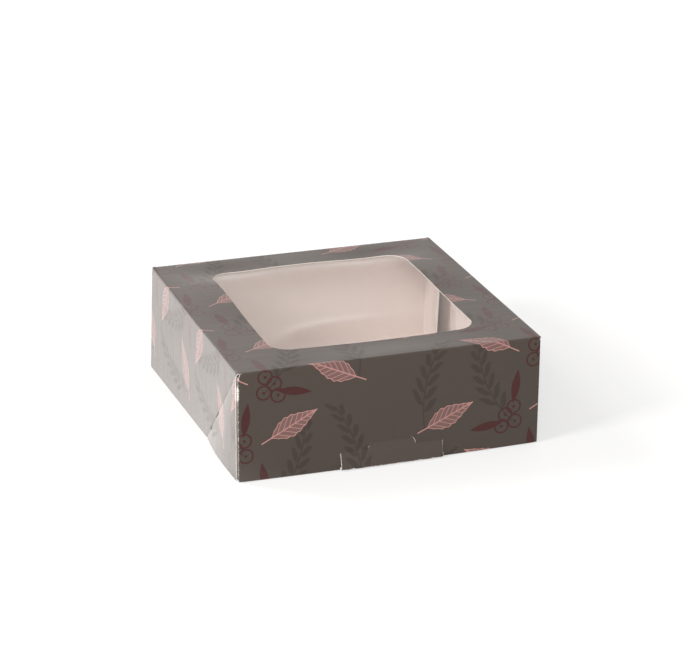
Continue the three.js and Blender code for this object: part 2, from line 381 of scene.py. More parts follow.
# A leafy spray of the print, in millimetres
SPRAY_LENGTH, SPRAY_BEND = 68.0, 7.0
SPRAY_STEM = 0.55
LEAFLET_SPACING, LEAFLET_LENGTH, LEAFLET_HALF_WIDTH = 9.0, 15.0, 2.1
LEAFLET_TAPER, LEAFY_SHARE = 0.55, 0.9
LEAFLET_ANGLE = math.radians(42)
SPRAYS = (((-22.0, 3.0), 76.0), ((19.0, -5.0), 112.0))


def leafy_spray(add, cell, centre, degrees):
    """A bent stem with slim leaflets in turn on either side, shorter towards its tip. Returns where it is."""
    along, across = motif_axes(add, cell, centre, degrees)
    share = add("Math MULTIPLY", along, 2 / SPRAY_LENGTH)
    bow = add("Math MULTIPLY", share, share)
    across = add("Math MULTIPLY_ADD", bow, SPRAY_BEND, across)
    side = add("Math ABSOLUTE", across)
    within = add("Math COMPARE", along, 0.0, SPRAY_LENGTH / 2)
    stem = add("Math LESS_THAN", side, SPRAY_STEM)
    stem = add("Math MULTIPLY", stem, within)
    foot = add("Math MULTIPLY_ADD", side, -1 / math.tan(LEAFLET_ANGLE), along)
    foot = add("Math DIVIDE", foot, LEAFLET_SPACING)
    hand = add("Math GREATER_THAN", across, 0.0)
    foot = add("Math MULTIPLY_ADD", hand, 0.5, foot)
    number = add("Math FLOOR", foot)
    offset = add("Math SUBTRACT", foot, number)
    offset = add("Math SUBTRACT", offset, 0.5)
    offset = add("Math ABSOLUTE", offset)
    offset = add("Math MULTIPLY", offset, LEAFLET_SPACING * math.sin(LEAFLET_ANGLE))
    rung = add("Math MULTIPLY_ADD", hand, -0.5, number)
    rung = add("Math MULTIPLY", rung, 2 * LEAFLET_SPACING / SPRAY_LENGTH)
    taper = LEAFLET_TAPER / 2
    length = add("Math MULTIPLY_ADD", rung, -taper * LEAFLET_LENGTH, (1 - taper) * LEAFLET_LENGTH)
    reach = add("Math MULTIPLY", side, 1 / math.sin(LEAFLET_ANGLE))
    reach = add("Math DIVIDE", reach, length)
    reach = add("Clamp", reach)
    reach = add("Math MULTIPLY", reach, math.pi)
    swell = add("Math SINE", reach)
    swell = add("Math MULTIPLY", swell, LEAFLET_HALF_WIDTH)
    leaflet = add("Math LESS_THAN", offset, swell)
    on_stem = add("Math COMPARE", rung, 0.0, LEAFY_SHARE)
    leaflet = add("Math MULTIPLY", leaflet, on_stem)
    return add("Math MAXIMUM", leaflet, stem)


# A cluster of berries of the print, in millimetres
BERRY_RADIUS, BERRY_LINE, BERRY_EYE = 4.6, 1.1, 1.0
BERRIES = ((33.0, -29.0), (40.0, -34.5), (30.5, -37.0), (39.0, -24.0))
BERRY_LEAF_LENGTH, BERRY_LEAF_HALF_WIDTH = 24.0, 2.9
BERRY_LEAVES = (((20.0, -35.5), 8.0), ((40.0, -10.0), 82.0))


def berry_cluster(add, cell):
    """Outlined berries with a dot in the middle, between two slim leaves. Returns where they are."""
    found = 0.0
    for x, y in BERRIES:
        gap = add("VectorMath DISTANCE", cell, (x, y, 0.0))
        ring = add("Math COMPARE", gap, BERRY_RADIUS, BERRY_LINE / 2)
        eye = add("Math LESS_THAN", gap, BERRY_EYE)
        drawn = add("Math MAXIMUM", ring, eye)
        found = add("Math MAXIMUM", found, drawn)
    for centre, degrees in BERRY_LEAVES:
        along, across = motif_axes(add, cell, centre, degrees)
        _, _, swell = leaf_swell(add, along, BERRY_LEAF_LENGTH)
        edge = add("Math MULTIPLY", swell, BERRY_LEAF_HALF_WIDTH)
        side = add("Math ABSOLUTE", across)
        drawn = add("Math LESS_THAN", side, edge)
        found = add("Math MAXIMUM", found, drawn)
    return found


# Patterns of the printed board: their sizes, and the ranges that they give. Fibres are drawn as clumps,
# because one alone is too fine to show. Streaks run along the grain, five times as long as they are wide.
FIBRE, FLECK, STREAK = 0.5 * MM, 1.1 * MM, 5 * MM
GRAIN = (0.2, 1.0, 1.0)
CORE = opaque(linear("#C8C1BA"))
INK_SHADES, CRACKS, SATIN, VARNISH = (0.94, 1.06), (1.0, 1.08), (0.36, 0.5), (1.0, 0.78)


def printed_boxboard(add):
    """Folding boxboard, offset printed and satin varnished.

    The varnish gives a soft sheen that turns pale at a low angle, the board's fibres break it up a little,
    and the pale core shows where ink has cracked along folds and cut edges.
    """
    prints = bpy.context.scene.cake_box_print
    cell = print_cell(add, prints)
    spray = add("Math MAXIMUM", *(leafy_spray(add, cell, *place) for place in SPRAYS))
    blades, lines = zip(*(rose_leaf(add, cell, *place) for place in ROSE_LEAVES))
    layers = (
        (spray, prints.spray), (berry_cluster(add, cell), prints.berry),
        (add("Math MAXIMUM", *blades), prints.rose),
        (add("Math MAXIMUM", *lines), prints.rose_line),
    )
    colour = opaque(prints.ground)
    for where, ink in layers:
        colour = add("Mix", where, colour, opaque(ink), data_type="RGBA")

    # Ink lies a little unevenly on the board's fibres.
    place = add("TexCoord").outputs["Object"]
    mottle = add("TexNoise", {"Vector": place, "Scale": 1 / FIBRE, "Detail": 2.0})
    shade = add("MapRange", mottle, 0.0, 1.0, *INK_SHADES)
    colour = add("Mix", 1.0, colour, shade, data_type="RGBA", blend_type="MULTIPLY")

    # Cracks run as broken flecks where the wear is high.
    wear = add("Attribute", attribute_name="wear").outputs["Fac"]
    fleck = add("TexNoise", {"Vector": place, "Scale": 1 / FLECK, "Detail": 3.0, "Roughness": 0.6})
    crack = add("Math ADD", wear, fleck)
    crack = add("MapRange", crack, *CRACKS)
    colour = add("Mix", crack, colour, CORE, data_type="RGBA")

    # The varnish lies in streaks along the board's grain, with the fibres on top.
    grain = add("UVMap", uv_map="Blank")
    grain = add("VectorMath MULTIPLY", grain, GRAIN)
    waver = add("TexNoise", {"Vector": grain, "Scale": 1 / STREAK, "Detail": 1.0})
    rough = add("MapRange", waver, 0.0, 1.0, *SATIN)
    waves = add("Bump", {"Height": waver, "Strength": 0.3, "Distance": 0.05 * MM})
    fibres = add("Bump", {"Height": mottle, "Normal": waves, "Strength": 0.25, "Distance": 0.02 * MM})
    # The varnish sinks in a little where the sprays lay down more ink.
    varnish = add("MapRange", spray, 0.0, 1.0, *VARNISH)
    return add("BsdfPrincipled", {
        "Base Color": colour, "Roughness": rough, "Normal": fibres, "IOR": 1.4,
        "Coat Weight": varnish, "Coat Roughness": 0.22, "Coat IOR": 1.35, "Coat Normal": waves,
    })


def clouded(add, patch, detail, *codes):
    """A noise with patches of a size, and a colour that wanders with it between two sRGB hex codes."""
    place = add("TexCoord").outputs["Object"]
    noise = add("TexNoise", {"Vector": place, "Scale": 1 / patch, "Detail": detail})
    shades = [opaque(linear(code)) for code in codes]
    return noise, add("Mix", noise, *shades, data_type="RGBA")


def uncoated_board(add):
    """The unprinted inside of folding boxboard: bleached, uncoated pulp.

    It is warm white and matt, with a faint cloudiness from the way the pulp settled, and clumps of fibres.
    """
    _, colour = clouded(add, 6 * MM, 4.0, "#EADFDA", "#F1E7E2")
    place = add("TexCoord").outputs["Object"]
    fibre = add("TexNoise", {"Vector": place, "Scale": 1 / (0.4 * MM), "Detail": 3.0})
    bump = add("Bump", {"Height": fibre, "Strength": 0.3, "Distance": 0.03 * MM})
    return add("BsdfPrincipled", {"Base Color": colour, "Roughness": 0.78, "Normal": bump, "IOR": 1.5})


def cut_edge(add):
    """The die-cut edge of folding boxboard, where the pulp shows: off-white, rough and dusty."""
    _, colour = clouded(add, 0.7 * MM, 3.0, "#D9D2CA", "#F6F2EC")
    return add("BsdfPrincipled", {"Base Color": colour, "Roughness": 0.9, "IOR": 1.5})


def window_film(add):
    """Cast polypropylene film, clear and glossy.

    It is seen by the soft light that it mirrors, most at a low angle, and by a faint haze. Only its outward
    faces mirror, so that light leaving the film isn't turned back into it.
    """
    mirror = add("Fresnel", {"IOR": 1.49})
    inward = add("NewGeometry").outputs["Backfacing"]
    outward = add("Math SUBTRACT", 1.0, inward)
    place = add("TexCoord").outputs["Object"]
    smear = add("TexNoise", {"Vector": place, "Scale": 1 / (40 * MM), "Detail": 1.0})
    haze = add("MapRange", {"Value": smear, "To Max": 0.05})
    share = add("Math ADD", mirror, haze)
    share = add("Math MULTIPLY", share, outward)
    clear = add("BsdfTransparent", {"Color": opaque(linear("#FEFDFC"))})
    gloss = add("BsdfGlossy", {"Color": WHITE, "Roughness": 0.07})
    return add("MixShader", share, clear, gloss)


def carton_glue(add):
    """Dried dispersion glue: milky, slightly yellow and softly shining where it levelled out."""
    flow, colour = clouded(add, 5 * MM, 2.0, "#DDD3BE", "#EEE7D8")
    bump = add("Bump", {"Height": flow, "Strength": 0.4, "Distance": 0.04 * MM})
    return add("BsdfPrincipled", {"Base Color": colour, "Roughness": 0.45, "Normal": bump, "IOR": 1.48})


# The floor in the box's gloss is painted by position, from the right front to the left rear:
# a painted shade where the box's shadow falls, then a painted glow that fades further off
FLOOR_RUN = (-1.0, 1.0, 0.0)
FLOOR_SHADE_ENDS, FLOOR_SHADE = (-0.05, 0.03), 0.35
FLOOR_FADE_ENDS, FLOOR_FADE = (0.08, 0.32), 0.88
# The floor in the camera's view: how far past white it is, and where its shadow gives way to its own white
FLOOR_WHITE = 1.2
FLOOR_SHADOW_ENDS = (0.22, 0.45)


def studio_floor(add):
    """A matt white paper sweep, lit well past white.

    In the camera's view part of its white is its own glow, which keeps its shadow faint. A mirrored ray sees
    a painted glow past white in place of the lit paper, with a painted shade at the box's right front.
    """
    stage = bpy.context.scene.cake_box_stage
    path = add("LightPath")
    mirrored = path.outputs["Is Glossy Ray"]
    seen = add("Math MULTIPLY_ADD", path.outputs["Is Diffuse Ray"], -1.0, 1.0)
    paper = add("BsdfDiffuse", {"Color": opaque(stage.floor)})
    place = add("NewGeometry").outputs["Position"]
    aside = add("VectorMath DOT_PRODUCT", place, FLOOR_RUN)
    # Painted shade, then painted glow, of the floor where the box's gloss mirrors it
    painted_shade = add("MapRange", aside, *FLOOR_SHADE_ENDS, FLOOR_SHADE, 1.0)
    painted_glow = add("MapRange", aside, *FLOOR_FADE_ENDS, stage.floor_mirror, FLOOR_FADE * stage.floor_mirror)
    painted_glow = add("Math MULTIPLY", painted_shade, painted_glow)
    strength = add("MapRange", mirrored, 0.0, 1.0, FLOOR_WHITE, painted_glow)
    tint = add("Mix", mirrored, WHITE, opaque(stage.mirror_tint), data_type="RGBA")
    glow = add("Emission", {"Color": tint, "Strength": strength})
    away = add("VectorMath LENGTH", place)
    share = add("MapRange", away, *FLOOR_SHADOW_ENDS, stage.floor_glow, 1.0)
    share = add("Math MAXIMUM", share, mirrored)
    share = add("Math MULTIPLY", seen, share)
    return add("MixShader", share, paper, glow)


# The finishes, and which of them the outer face, the inner face and the rim of a sheet take
FINISHES = {
    "print": ("printed folding boxboard, satin varnish", printed_boxboard),
    "inside": ("uncoated white boxboard, matt", uncoated_board),
    "edge": ("die-cut boxboard edge, raw", cut_edge),
    "film": ("clear polypropylene film, glossy", window_film),
    "glue": ("dried carton glue, milky", carton_glue),
    "floor": ("studio paper sweep, matt", studio_floor),
}
BOARD_FACES = ("print", "inside", "edge")
BARE_FACES = ("inside", "inside", "edge")
FILM_FACES = ("film", "film", "film")
GLUE_FACES = ("glue", "glue", "glue")


@cache
def finish_of(key):
    """The material of that key, made on its first use."""
    return new_material(*FINISHES[key])


@dataclass
class Panel:
    """A flat panel of the box before its folds are rounded: an outline on one face of an upright block.

    axis is the one that the face is square to, at is where the face lies on it, and out is 1 or -1, the way
    it looks. The outline and the holes hold the other two coordinates in order. low and high are the block's
    corners, and a side of the block with no fold to round is left open.
    """

    node: str
    body: str
    axis: int
    at: float
    out: int
    outline: list
    unfold: object
    bend: object
    low: tuple = (-OPEN, -OPEN, -OPEN)
    high: tuple = (OPEN, OPEN, OPEN)
    holes: list = field(default_factory=list)
    lines: list = field(default_factory=list)
    thickness: float = BOARD
    slot: str = "printed_board"
    finishes: tuple = BOARD_FACES

    def stand(self, flat):
        """The points of the flat outline, stood in place."""
        return np.insert(flat, self.axis, self.at, axis=1)

    def attach(self, piece):
        """Sets the finished piece on its body, in place of its node."""
        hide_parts(self.node)
        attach(piece, self.body)


def arc(centre, radius, start, end):
    """Points of an arc between two angles in degrees."""
    angles = np.radians(np.linspace(start, end, CORNER_POINTS))
    return [(centre[0] + radius * math.cos(a), centre[1] + radius * math.sin(a)) for a in angles]


def rounded_rectangle(low, high, radius):
    """A rectangle with round corners between two corner points."""
    left, right = low[0] + radius, high[0] - radius
    painted_shade, far = low[1] + radius, high[1] - radius
    return (arc((right, far), radius, 0, 90) + arc((left, far), radius, 90, 180)
            + arc((left, painted_shade), radius, 180, 270) + arc((right, painted_shade), radius, 270, 360))


def divided(start, end):
    """Points from start up to end, which is left out, no further apart than the grid."""
    start, end = np.array(start), np.array(end)
    count = max(1, round(np.linalg.norm(end - start) / GRID))
    return [start + (end - start) * i / count for i in range(count)]


def divided_loop(loop):
    """The points of a closed loop, no further apart than the grid."""
    return np.array([p for a, b in zip(loop, loop[1:] + loop[:1]) for p in divided(a, b)])


def inside(points, loops):
    """Which points lie inside the first loop and outside the others."""
    odd = np.zeros(len(points), bool)
    for loop in loops:
        for (ax, ay), (bx, by) in zip(loop, np.roll(loop, -1, axis=0)):
            if ay == by:
                continue
            level = (points[:, 1] >= min(ay, by)) & (points[:, 1] < max(ay, by))
            odd ^= level & (points[:, 0] < ax + (points[:, 1] - ay) * (bx - ax) / (by - ay))
    return odd


def clearance(points, segments):
    """Distance from each point to the nearest of the segments."""
    least = np.full(len(points), OPEN)
    for a, b in segments:
        along = b - a
        share = np.clip((points - a) @ along / (along @ along), 0, 1)
        gap = np.linalg.norm(points - a - share[:, None] * along, axis=1)
        least = np.minimum(least, gap)
    return least


def grid_lines(low, high):
    """Coordinates of the grid between two edges, with the closer rows along them."""
    lines = np.arange(math.ceil(low / GRID), math.floor(high / GRID) + 1) * GRID
    rows = [low + r for r in EDGE_ROWS] + [high - r for r in EDGE_ROWS]
    return np.unique(np.round(np.concatenate([lines, rows]), 6))


def flat_mesh(panel):
    """Triangulates a panel in its own plane. Returns the points and the triangles."""
    loops = [divided_loop(loop) for loop in [panel.outline, *panel.holes]]
    points, edges = [], []
    for loop in loops:
        first = len(points)
        points.extend(loop)
        edges += [(first + i, first + (i + 1) % len(loop)) for i in range(len(loop))]
    for start, end in panel.lines:
        first = len(points)
        points.extend([*divided(start, end), np.array(end)])
        edges += [(i, i + 1) for i in range(first, len(points) - 1)]
    segments = [(points[a], points[b]) for a, b in edges]
    low, high = loops[0].min(axis=0), loops[0].max(axis=0)
    across, along = (grid_lines(low[i], high[i]) for i in range(2))
    grid = np.array([(u, v) for u in across for v in along])
    grid = grid[inside(grid, loops)]
    grid = grid[clearance(grid, segments) > LEAST_SPACING]
    points.extend(grid)
    result = delaunay_2d_cdt([Vector(p) for p in points], edges, [], 0, SAME_POINT)
    points, triangles = np.array([tuple(p) for p in result[0]]), np.array(result[2])
    kept = inside(points[triangles].mean(axis=1), loops)
    return points, triangles[kept]


def folded(points, panel, radius):
    """Rounds the folds at a panel's edges. Returns each point's place and the way out of the board there."""
    core = np.clip(points, np.array(panel.low) + radius, np.array(panel.high) - radius)
    out = points - core
    out /= np.linalg.norm(out, axis=1, keepdims=True)
    return core + radius * out, out


def sheet(panel):
    """Makes the closed sheet of a panel, which stands for its node."""
    flat, triangles = flat_mesh(panel)
    sharp = panel.stand(flat)
    if np.isfinite([*panel.low, *panel.high]).any():
        outer, out = folded(sharp, panel, bpy.context.scene.cake_box_board.fold_radius)
    else:
        outer = sharp
        out = np.zeros_like(sharp)
        out[:, panel.axis] = panel.out
    inner = outer - panel.thickness * out
    a, b, c = (outer[triangles[:, i]] for i in range(3))
    if (np.cross(b - a, c - a) * out[triangles[:, 0]]).sum() < 0:
        triangles = triangles[:, ::-1]
    faces = panel.bend(outer), panel.bend(inner)
    blank = np.column_stack(panel.unfold(*sharp.T))
    piece = closed_sheet(panel, *faces, triangles, blank, worn(sharp))
    panel.attach(piece)


def rim_edges(triangles):
    """The edges that only one triangle has, in its own order."""
    edges = np.concatenate([triangles[:, [0, 1]], triangles[:, [1, 2]], triangles[:, [2, 0]]])
    _, first, count = np.unique(np.sort(edges, axis=1), axis=0, return_index=True, return_counts=True)
    return edges[first[count == 1]]


# Where the ink has worn or cracked: a line's two ends, how far the wear reaches from it, and its strength.
# The left front corner is torn between two heights, over the gap between the fold and the gusset's edge.
TORN_LOW, TORN_HIGH = 57 * MM, 65 * MM
GUSSET_EDGE = (-HALF_WIDTH, FRONT + GUSSET_SETBACK)
FOLD_EDGE = (-FRONT_HALF, FRONT)
GAP_MIDDLE = (-FRONT_HALF, FRONT + GUSSET_SETBACK / 2)
NICK_LOW = (-TONGUE_HALF, FRONT, LOCK_CREASE + 1.6 * MM)
NICK_HIGH = (-TONGUE_HALF + 1 * MM, FRONT, LOCK_CREASE + 4 * MM)
WORN_LINES = [
    ((*FOLD_EDGE, 0.0), (*FOLD_EDGE, TOP - RELIEF_HEIGHT), 0.6 * MM, 0.52),
    ((*GUSSET_EDGE, 0.0), (*GUSSET_EDGE, TOP - GUSSET_SETBACK), 0.6 * MM, 0.52),
    ((*GUSSET_EDGE, TORN_LOW), (*GUSSET_EDGE, TORN_HIGH), 2.2 * MM, 0.66),
    ((*FOLD_EDGE, TORN_LOW), (*FOLD_EDGE, TORN_HIGH), 1.2 * MM, 0.66),
    ((*GAP_MIDDLE, TORN_LOW), (*GAP_MIDDLE, TORN_HIGH), 2.2 * MM, 0.72),
    ((-HALF_WIDTH, FRONT, TOP - 1 * MM), (-HALF_WIDTH, FRONT, TOP), 1.8 * MM, 0.7),
    ((*FOLD_EDGE, TOP - RELIEF_HEIGHT), (-FRONT_HALF + RELIEF_WIDTH, FRONT, TOP), 0.8 * MM, 0.75),
    ((HALF_WIDTH, FRONT, 0.0), (HALF_WIDTH, FRONT, TOP), 0.6 * MM, 0.4),
    ((-LOCK_HALF, FRONT, SKIRT_BOTTOM), (LOCK_HALF, FRONT, SKIRT_BOTTOM), 0.7 * MM, 0.62),
    ((-LOCK_HALF, FRONT, SKIRT_BOTTOM), (-LOCK_HALF, FRONT, LOCK_CREASE - SLIT_END), 0.35 * MM, 0.95),
    ((LOCK_HALF, FRONT, SKIRT_BOTTOM), (LOCK_HALF, FRONT, LOCK_CREASE - SLIT_END), 0.35 * MM, 0.62),
    (NICK_LOW, NICK_HIGH, 0.4 * MM, 0.62),
    ((-HALF_WIDTH, FRONT, 0.0), (HALF_WIDTH, FRONT, 0.0), 0.9 * MM, 0.34),
    ((-HALF_WIDTH, FRONT, TOP), (HALF_WIDTH, FRONT, TOP), 0.5 * MM, 0.27),
    ((-WALL_HALF, BACK, TOP), (WALL_HALF, BACK, TOP), 0.8 * MM, 0.34),
]
for half in (-1, 1):
    WORN_LINES += [
        ((half * HALF_WIDTH, FRONT, TOP), (half * HALF_WIDTH, BACK, TOP), 0.5 * MM, 0.3),
        ((half * HALF_WIDTH, FRONT, 0.0), (half * HALF_WIDTH, BACK, 0.0), 0.9 * MM, 0.36),
        ((half * TRAY_HALF, BACK, 0.0), (half * TRAY_HALF, BACK, TOP), 0.7 * MM, 0.4),
    ]


def worn(points):
    """How worn the ink is at each point, from 0 to 1."""
    most = np.zeros(len(points))
    for start, end, reach, strength in WORN_LINES:
        gap = clearance(points, [(np.array(start), np.array(end))])
        most = np.maximum(most, strength * np.exp(-(gap / reach) ** 2))
    return most


def closed_sheet(panel, outer, inner, triangles, blank, wear):
    """Builds a sheet's mesh from its two faces and the rim between them."""
    count = len(outer)
    rim = rim_edges(triangles)
    walls = np.column_stack([rim[:, 0], rim[:, 0] + count, rim[:, 1] + count, rim[:, 1]])
    faces = [*triangles.tolist(), *(triangles[:, ::-1] + count).tolist(), *walls.tolist()]
    mesh = bpy.data.meshes.new(panel.node + "_sheet")
    mesh.from_pydata(np.concatenate([outer, inner]).tolist(), [], faces)

    for key in panel.finishes:
        mesh.materials.append(finish_of(key))
    kinds = np.repeat([0, 1, 2], [len(triangles), len(triangles), len(walls)])
    mesh.polygons.foreach_set("material_index", kinds.astype(np.int32))
    mesh.polygons.foreach_set("use_smooth", np.ones(len(faces), bool))

    corners = np.empty(len(mesh.loops), np.int32)
    mesh.loops.foreach_get("vertex_index", corners)
    mesh.uv_layers.new(name="Blank").data.foreach_set("uv", blank[corners % count].astype(np.float32).ravel())

    both = np.concatenate([wear, wear]).astype(np.float32)
    mesh.attributes.new("wear", "FLOAT", "POINT").data.foreach_set("value", both)

    pairs = np.empty(len(mesh.edges) * 2, np.int32)
    mesh.edges.foreach_get("vertices", pairs)
    on_rim = {tuple(sorted(edge)) for edge in [*rim.tolist(), *(rim + count).tolist()]}
    crisp = [tuple(sorted(pair)) in on_rim for pair in pairs.reshape(-1, 2).tolist()]
    mesh.attributes.new("sharp_edge", "BOOLEAN", "EDGE").data.foreach_set("value", crisp)
    mesh.update()

    piece = bpy.data.objects.new(mesh.name, mesh)
    bpy.context.scene.collection.objects.link(piece)
    return piece


def groove(distance, board):
    """Depth of a pressed crease at a distance from its line."""
    return board.crease_depth * np.clip(1 - np.abs(distance) / board.crease_reach, 0, 1)


def hump(places, middle, reach):
    """A smooth rise from 0, that far from the middle, to 1 there."""
    return np.clip(1 - ((places - middle) / reach) ** 2, 0, 1)


# Points this near to a face of the box bend with it
NEAR_FRONT, NEAR_SIDE, NEAR_TOP, NEAR_BACK = 6 * MM, 3 * MM, 4 * MM, 1.2 * MM

# How the lid's border has warped round the window: the share of the warp, upwards, its middle and its reach.
# The sides of the window stand up towards the back, and its front and back edges sag.
WARPS = (
    (1.0, (-72 * MM, 38 * MM), (36 * MM, 62 * MM)),
    (0.8, (72 * MM, 40 * MM), (36 * MM, 62 * MM)),
    (-0.65, (5 * MM, -75 * MM), (75 * MM, 28 * MM)),
    (-0.72, (-60 * MM, 77 * MM), (42 * MM, 23 * MM)),
    (-0.62, (50 * MM, 77 * MM), (46 * MM, 23 * MM)),
)


def bend_lid(points):
    """How handling has bent the lid: its skirts stand out, its window's edge warps, and its gussets give."""
    board = bpy.context.scene.cake_box_board
    x, y, z = points.T
    drop = np.clip((TOP - z) / TOP, 0, 1)
    bent = points.copy()

    on_front = y < FRONT + NEAR_FRONT
    bent[:, 1] -= np.where(on_front, board.front_bulge * hump(x, 0, FRONT_HALF) * drop, 0)

    behind = ((y - FRONT) - (TOP - z)) / math.sqrt(2)
    down = np.clip(((y - FRONT) + (TOP - z)) / (2 * TOP), 0, 1)
    dent = board.gusset_dent * down * np.clip(1 + behind / board.dent_reach, 0, 1)
    crease = FRONT + TOP - z
    ahead = np.clip((y - FRONT) / np.maximum(crease - FRONT, MM), 0, 1)
    dent -= board.gusset_swell * drop * np.sin(math.pi * ahead)
    rear = np.clip((y - crease) / (BACK - crease), 0, 1)
    for side, flare in ((-1, board.left_flare), (1, board.right_flare)):
        on_side = side * x > HALF_WIDTH - NEAR_SIDE
        held = np.where(behind > 0, board.gusset_dent * drop * (1 - rear), dent)
        move = flare * rear * drop - held - groove(behind, board) * (drop > 0)
        bent[:, 0] += np.where(on_side, side * move, 0)

    on_top = z > TOP - NEAR_TOP
    for share, middle, reach in WARPS:
        rise = hump(x, middle[0], reach[0]) * hump(y, middle[1], reach[1])
        bent[:, 2] += np.where(on_top, share * board.window_warp * rise ** 2, 0)
    return bent


# The film's rear ridge: its place, its width in front and behind, and its height in ripples
REAR_RIDGE, REAR_WIDTHS, REAR_HEIGHT = 63 * MM, (17 * MM, 11 * MM), 2.1
# Its front ridge, the same, which bends forwards on the left and dies out towards the right
FRONT_RIDGE, FRONT_WIDTH, FRONT_HEIGHT = -40 * MM, 10 * MM, 2.2
RIDGE_BENDS_FROM, RIDGE_RADIUS = -10 * MM, 77 * MM
RIDGE_FADES_FROM, RIDGE_FADE = -45 * MM, 110 * MM


def bend_film(points):
    """The film follows the lid where it is glued, with a straight ridge at its rear and a bent one ahead."""
    board = bpy.context.scene.cake_box_board
    x, y, _ = points.T
    middle = (FILM_LOW.y + FILM_HIGH.y) / 2
    free = np.sqrt(hump(x, 0, WINDOW_HIGH[0]) * hump(y, middle, WINDOW_HIGH[1] - middle))
    behind = y - REAR_RIDGE
    rear = np.exp(-(behind / np.where(behind < 0, *REAR_WIDTHS)) ** 2)
    ahead = y - FRONT_RIDGE + np.minimum(x - RIDGE_BENDS_FROM, 0) ** 2 / (2 * RIDGE_RADIUS)
    front = np.exp(-(ahead / FRONT_WIDTH) ** 2) * np.clip(1 - (x - RIDGE_FADES_FROM) / RIDGE_FADE, 0, 1)
    bent = bend_lid(points)
    bent[:, 2] += board.film_ripple * (REAR_HEIGHT * rear + FRONT_HEIGHT * front) * free
    return bent


# How far the tray's back wall bows in, and a tab's share of its spring at its foot and what its top loses
WALL_BOW = 0.7 * MM
SPRING_FOOT, SPRING_LOST = 1.15, 0.3


def bend_tray(points):
    """How the tray has settled: its back wall bows in a little."""
    x, y, z = points.T
    bent = points.copy()
    rise = np.sin(np.clip(z / TOP, 0, 1) * math.pi)
    on_back = y > BACK - NEAR_BACK
    bent[:, 1] -= np.where(on_back, WALL_BOW * rise * np.cos(x / HALF_WIDTH * math.pi / 2), 0)
    return bent


def bend_tab(points, spring, side, end):
    """A tray tab, which springs off the side wall past its glue, a little further towards its foot."""
    edge, inward = end
    out = inward * (points[:, 1] - edge)
    free = np.clip((out - TAB_GLUED) / (TAB_REACH - TAB_GLUED), 0, 1)
    bent = points.copy()
    bent[:, 0] -= side * spring * free * (SPRING_FOOT - SPRING_LOST * points[:, 2] / TOP)
    return bent


# Where each panel lies on the flat blank, which the print runs over
BASE_RUN = BACK + TOP + BACK


def unfold_level(x, y, z):
    return x, y


def unfold_front(x, y, z):
    return x, FRONT - (TOP - z)


def unfold_side(side, x, y, z):
    return side * (HALF_WIDTH + TOP - z), y


def unfold_lid_tab(side, x, y, z):
    return side * (FRONT_HALF + y - FRONT), FRONT - (TOP - z)


def unfold_hinge(x, y, z):
    return x, y + TOP - z


def unfold_back(x, y, z):
    return x, BACK + TOP - z


def unfold_base(x, y, z):
    return x, BASE_RUN - y


def unfold_tray_front(x, y, z):
    return x, BASE_RUN - TRAY_FRONT + z


def unfold_tray_side(side, x, y, z):
    return side * (TRAY_HALF + z), BASE_RUN - y


def unfold_tray_tab(side, end, x, y, z):
    edge, inward = end
    wall = unfold_back if inward < 0 else unfold_tray_front
    return side * (WALL_HALF + np.abs(y - edge)), wall(x, y, z)[1]


# The box's sides by name and sign, and the tray's ends by name, place and way inwards
SIDES = (("left", -1), ("right", 1))
TRAY_ENDS = (("front", (TRAY_FRONT, 1)), ("back", (BACK, -1)))
# How far from its ends a groove's lines stop, in reaches of the groove
CREASE_TRIM = 3
# The tray's tab that has sprung loose, and the share of its spring that the others have
LOOSE_TAB, HELD_SHARE = ("right", "back"), 0.25


def rectangle(low, high):
    """A rectangle between two corner points."""
    return [(low[0], low[1]), (high[0], low[1]), (high[0], high[1]), (low[0], high[1])]


def beside(start, end, board):
    """Lines along both edges of a crease's groove, short of its ends."""
    start, end = np.array(start), np.array(end)
    along = (end - start) / np.linalg.norm(end - start)
    square = np.array((-along[1], along[0]))
    trim = CREASE_TRIM * board.crease_reach * along
    return [(tuple(start + trim + k * square), tuple(end - trim + k * square))
            for k in (-board.crease_reach, board.crease_reach)]


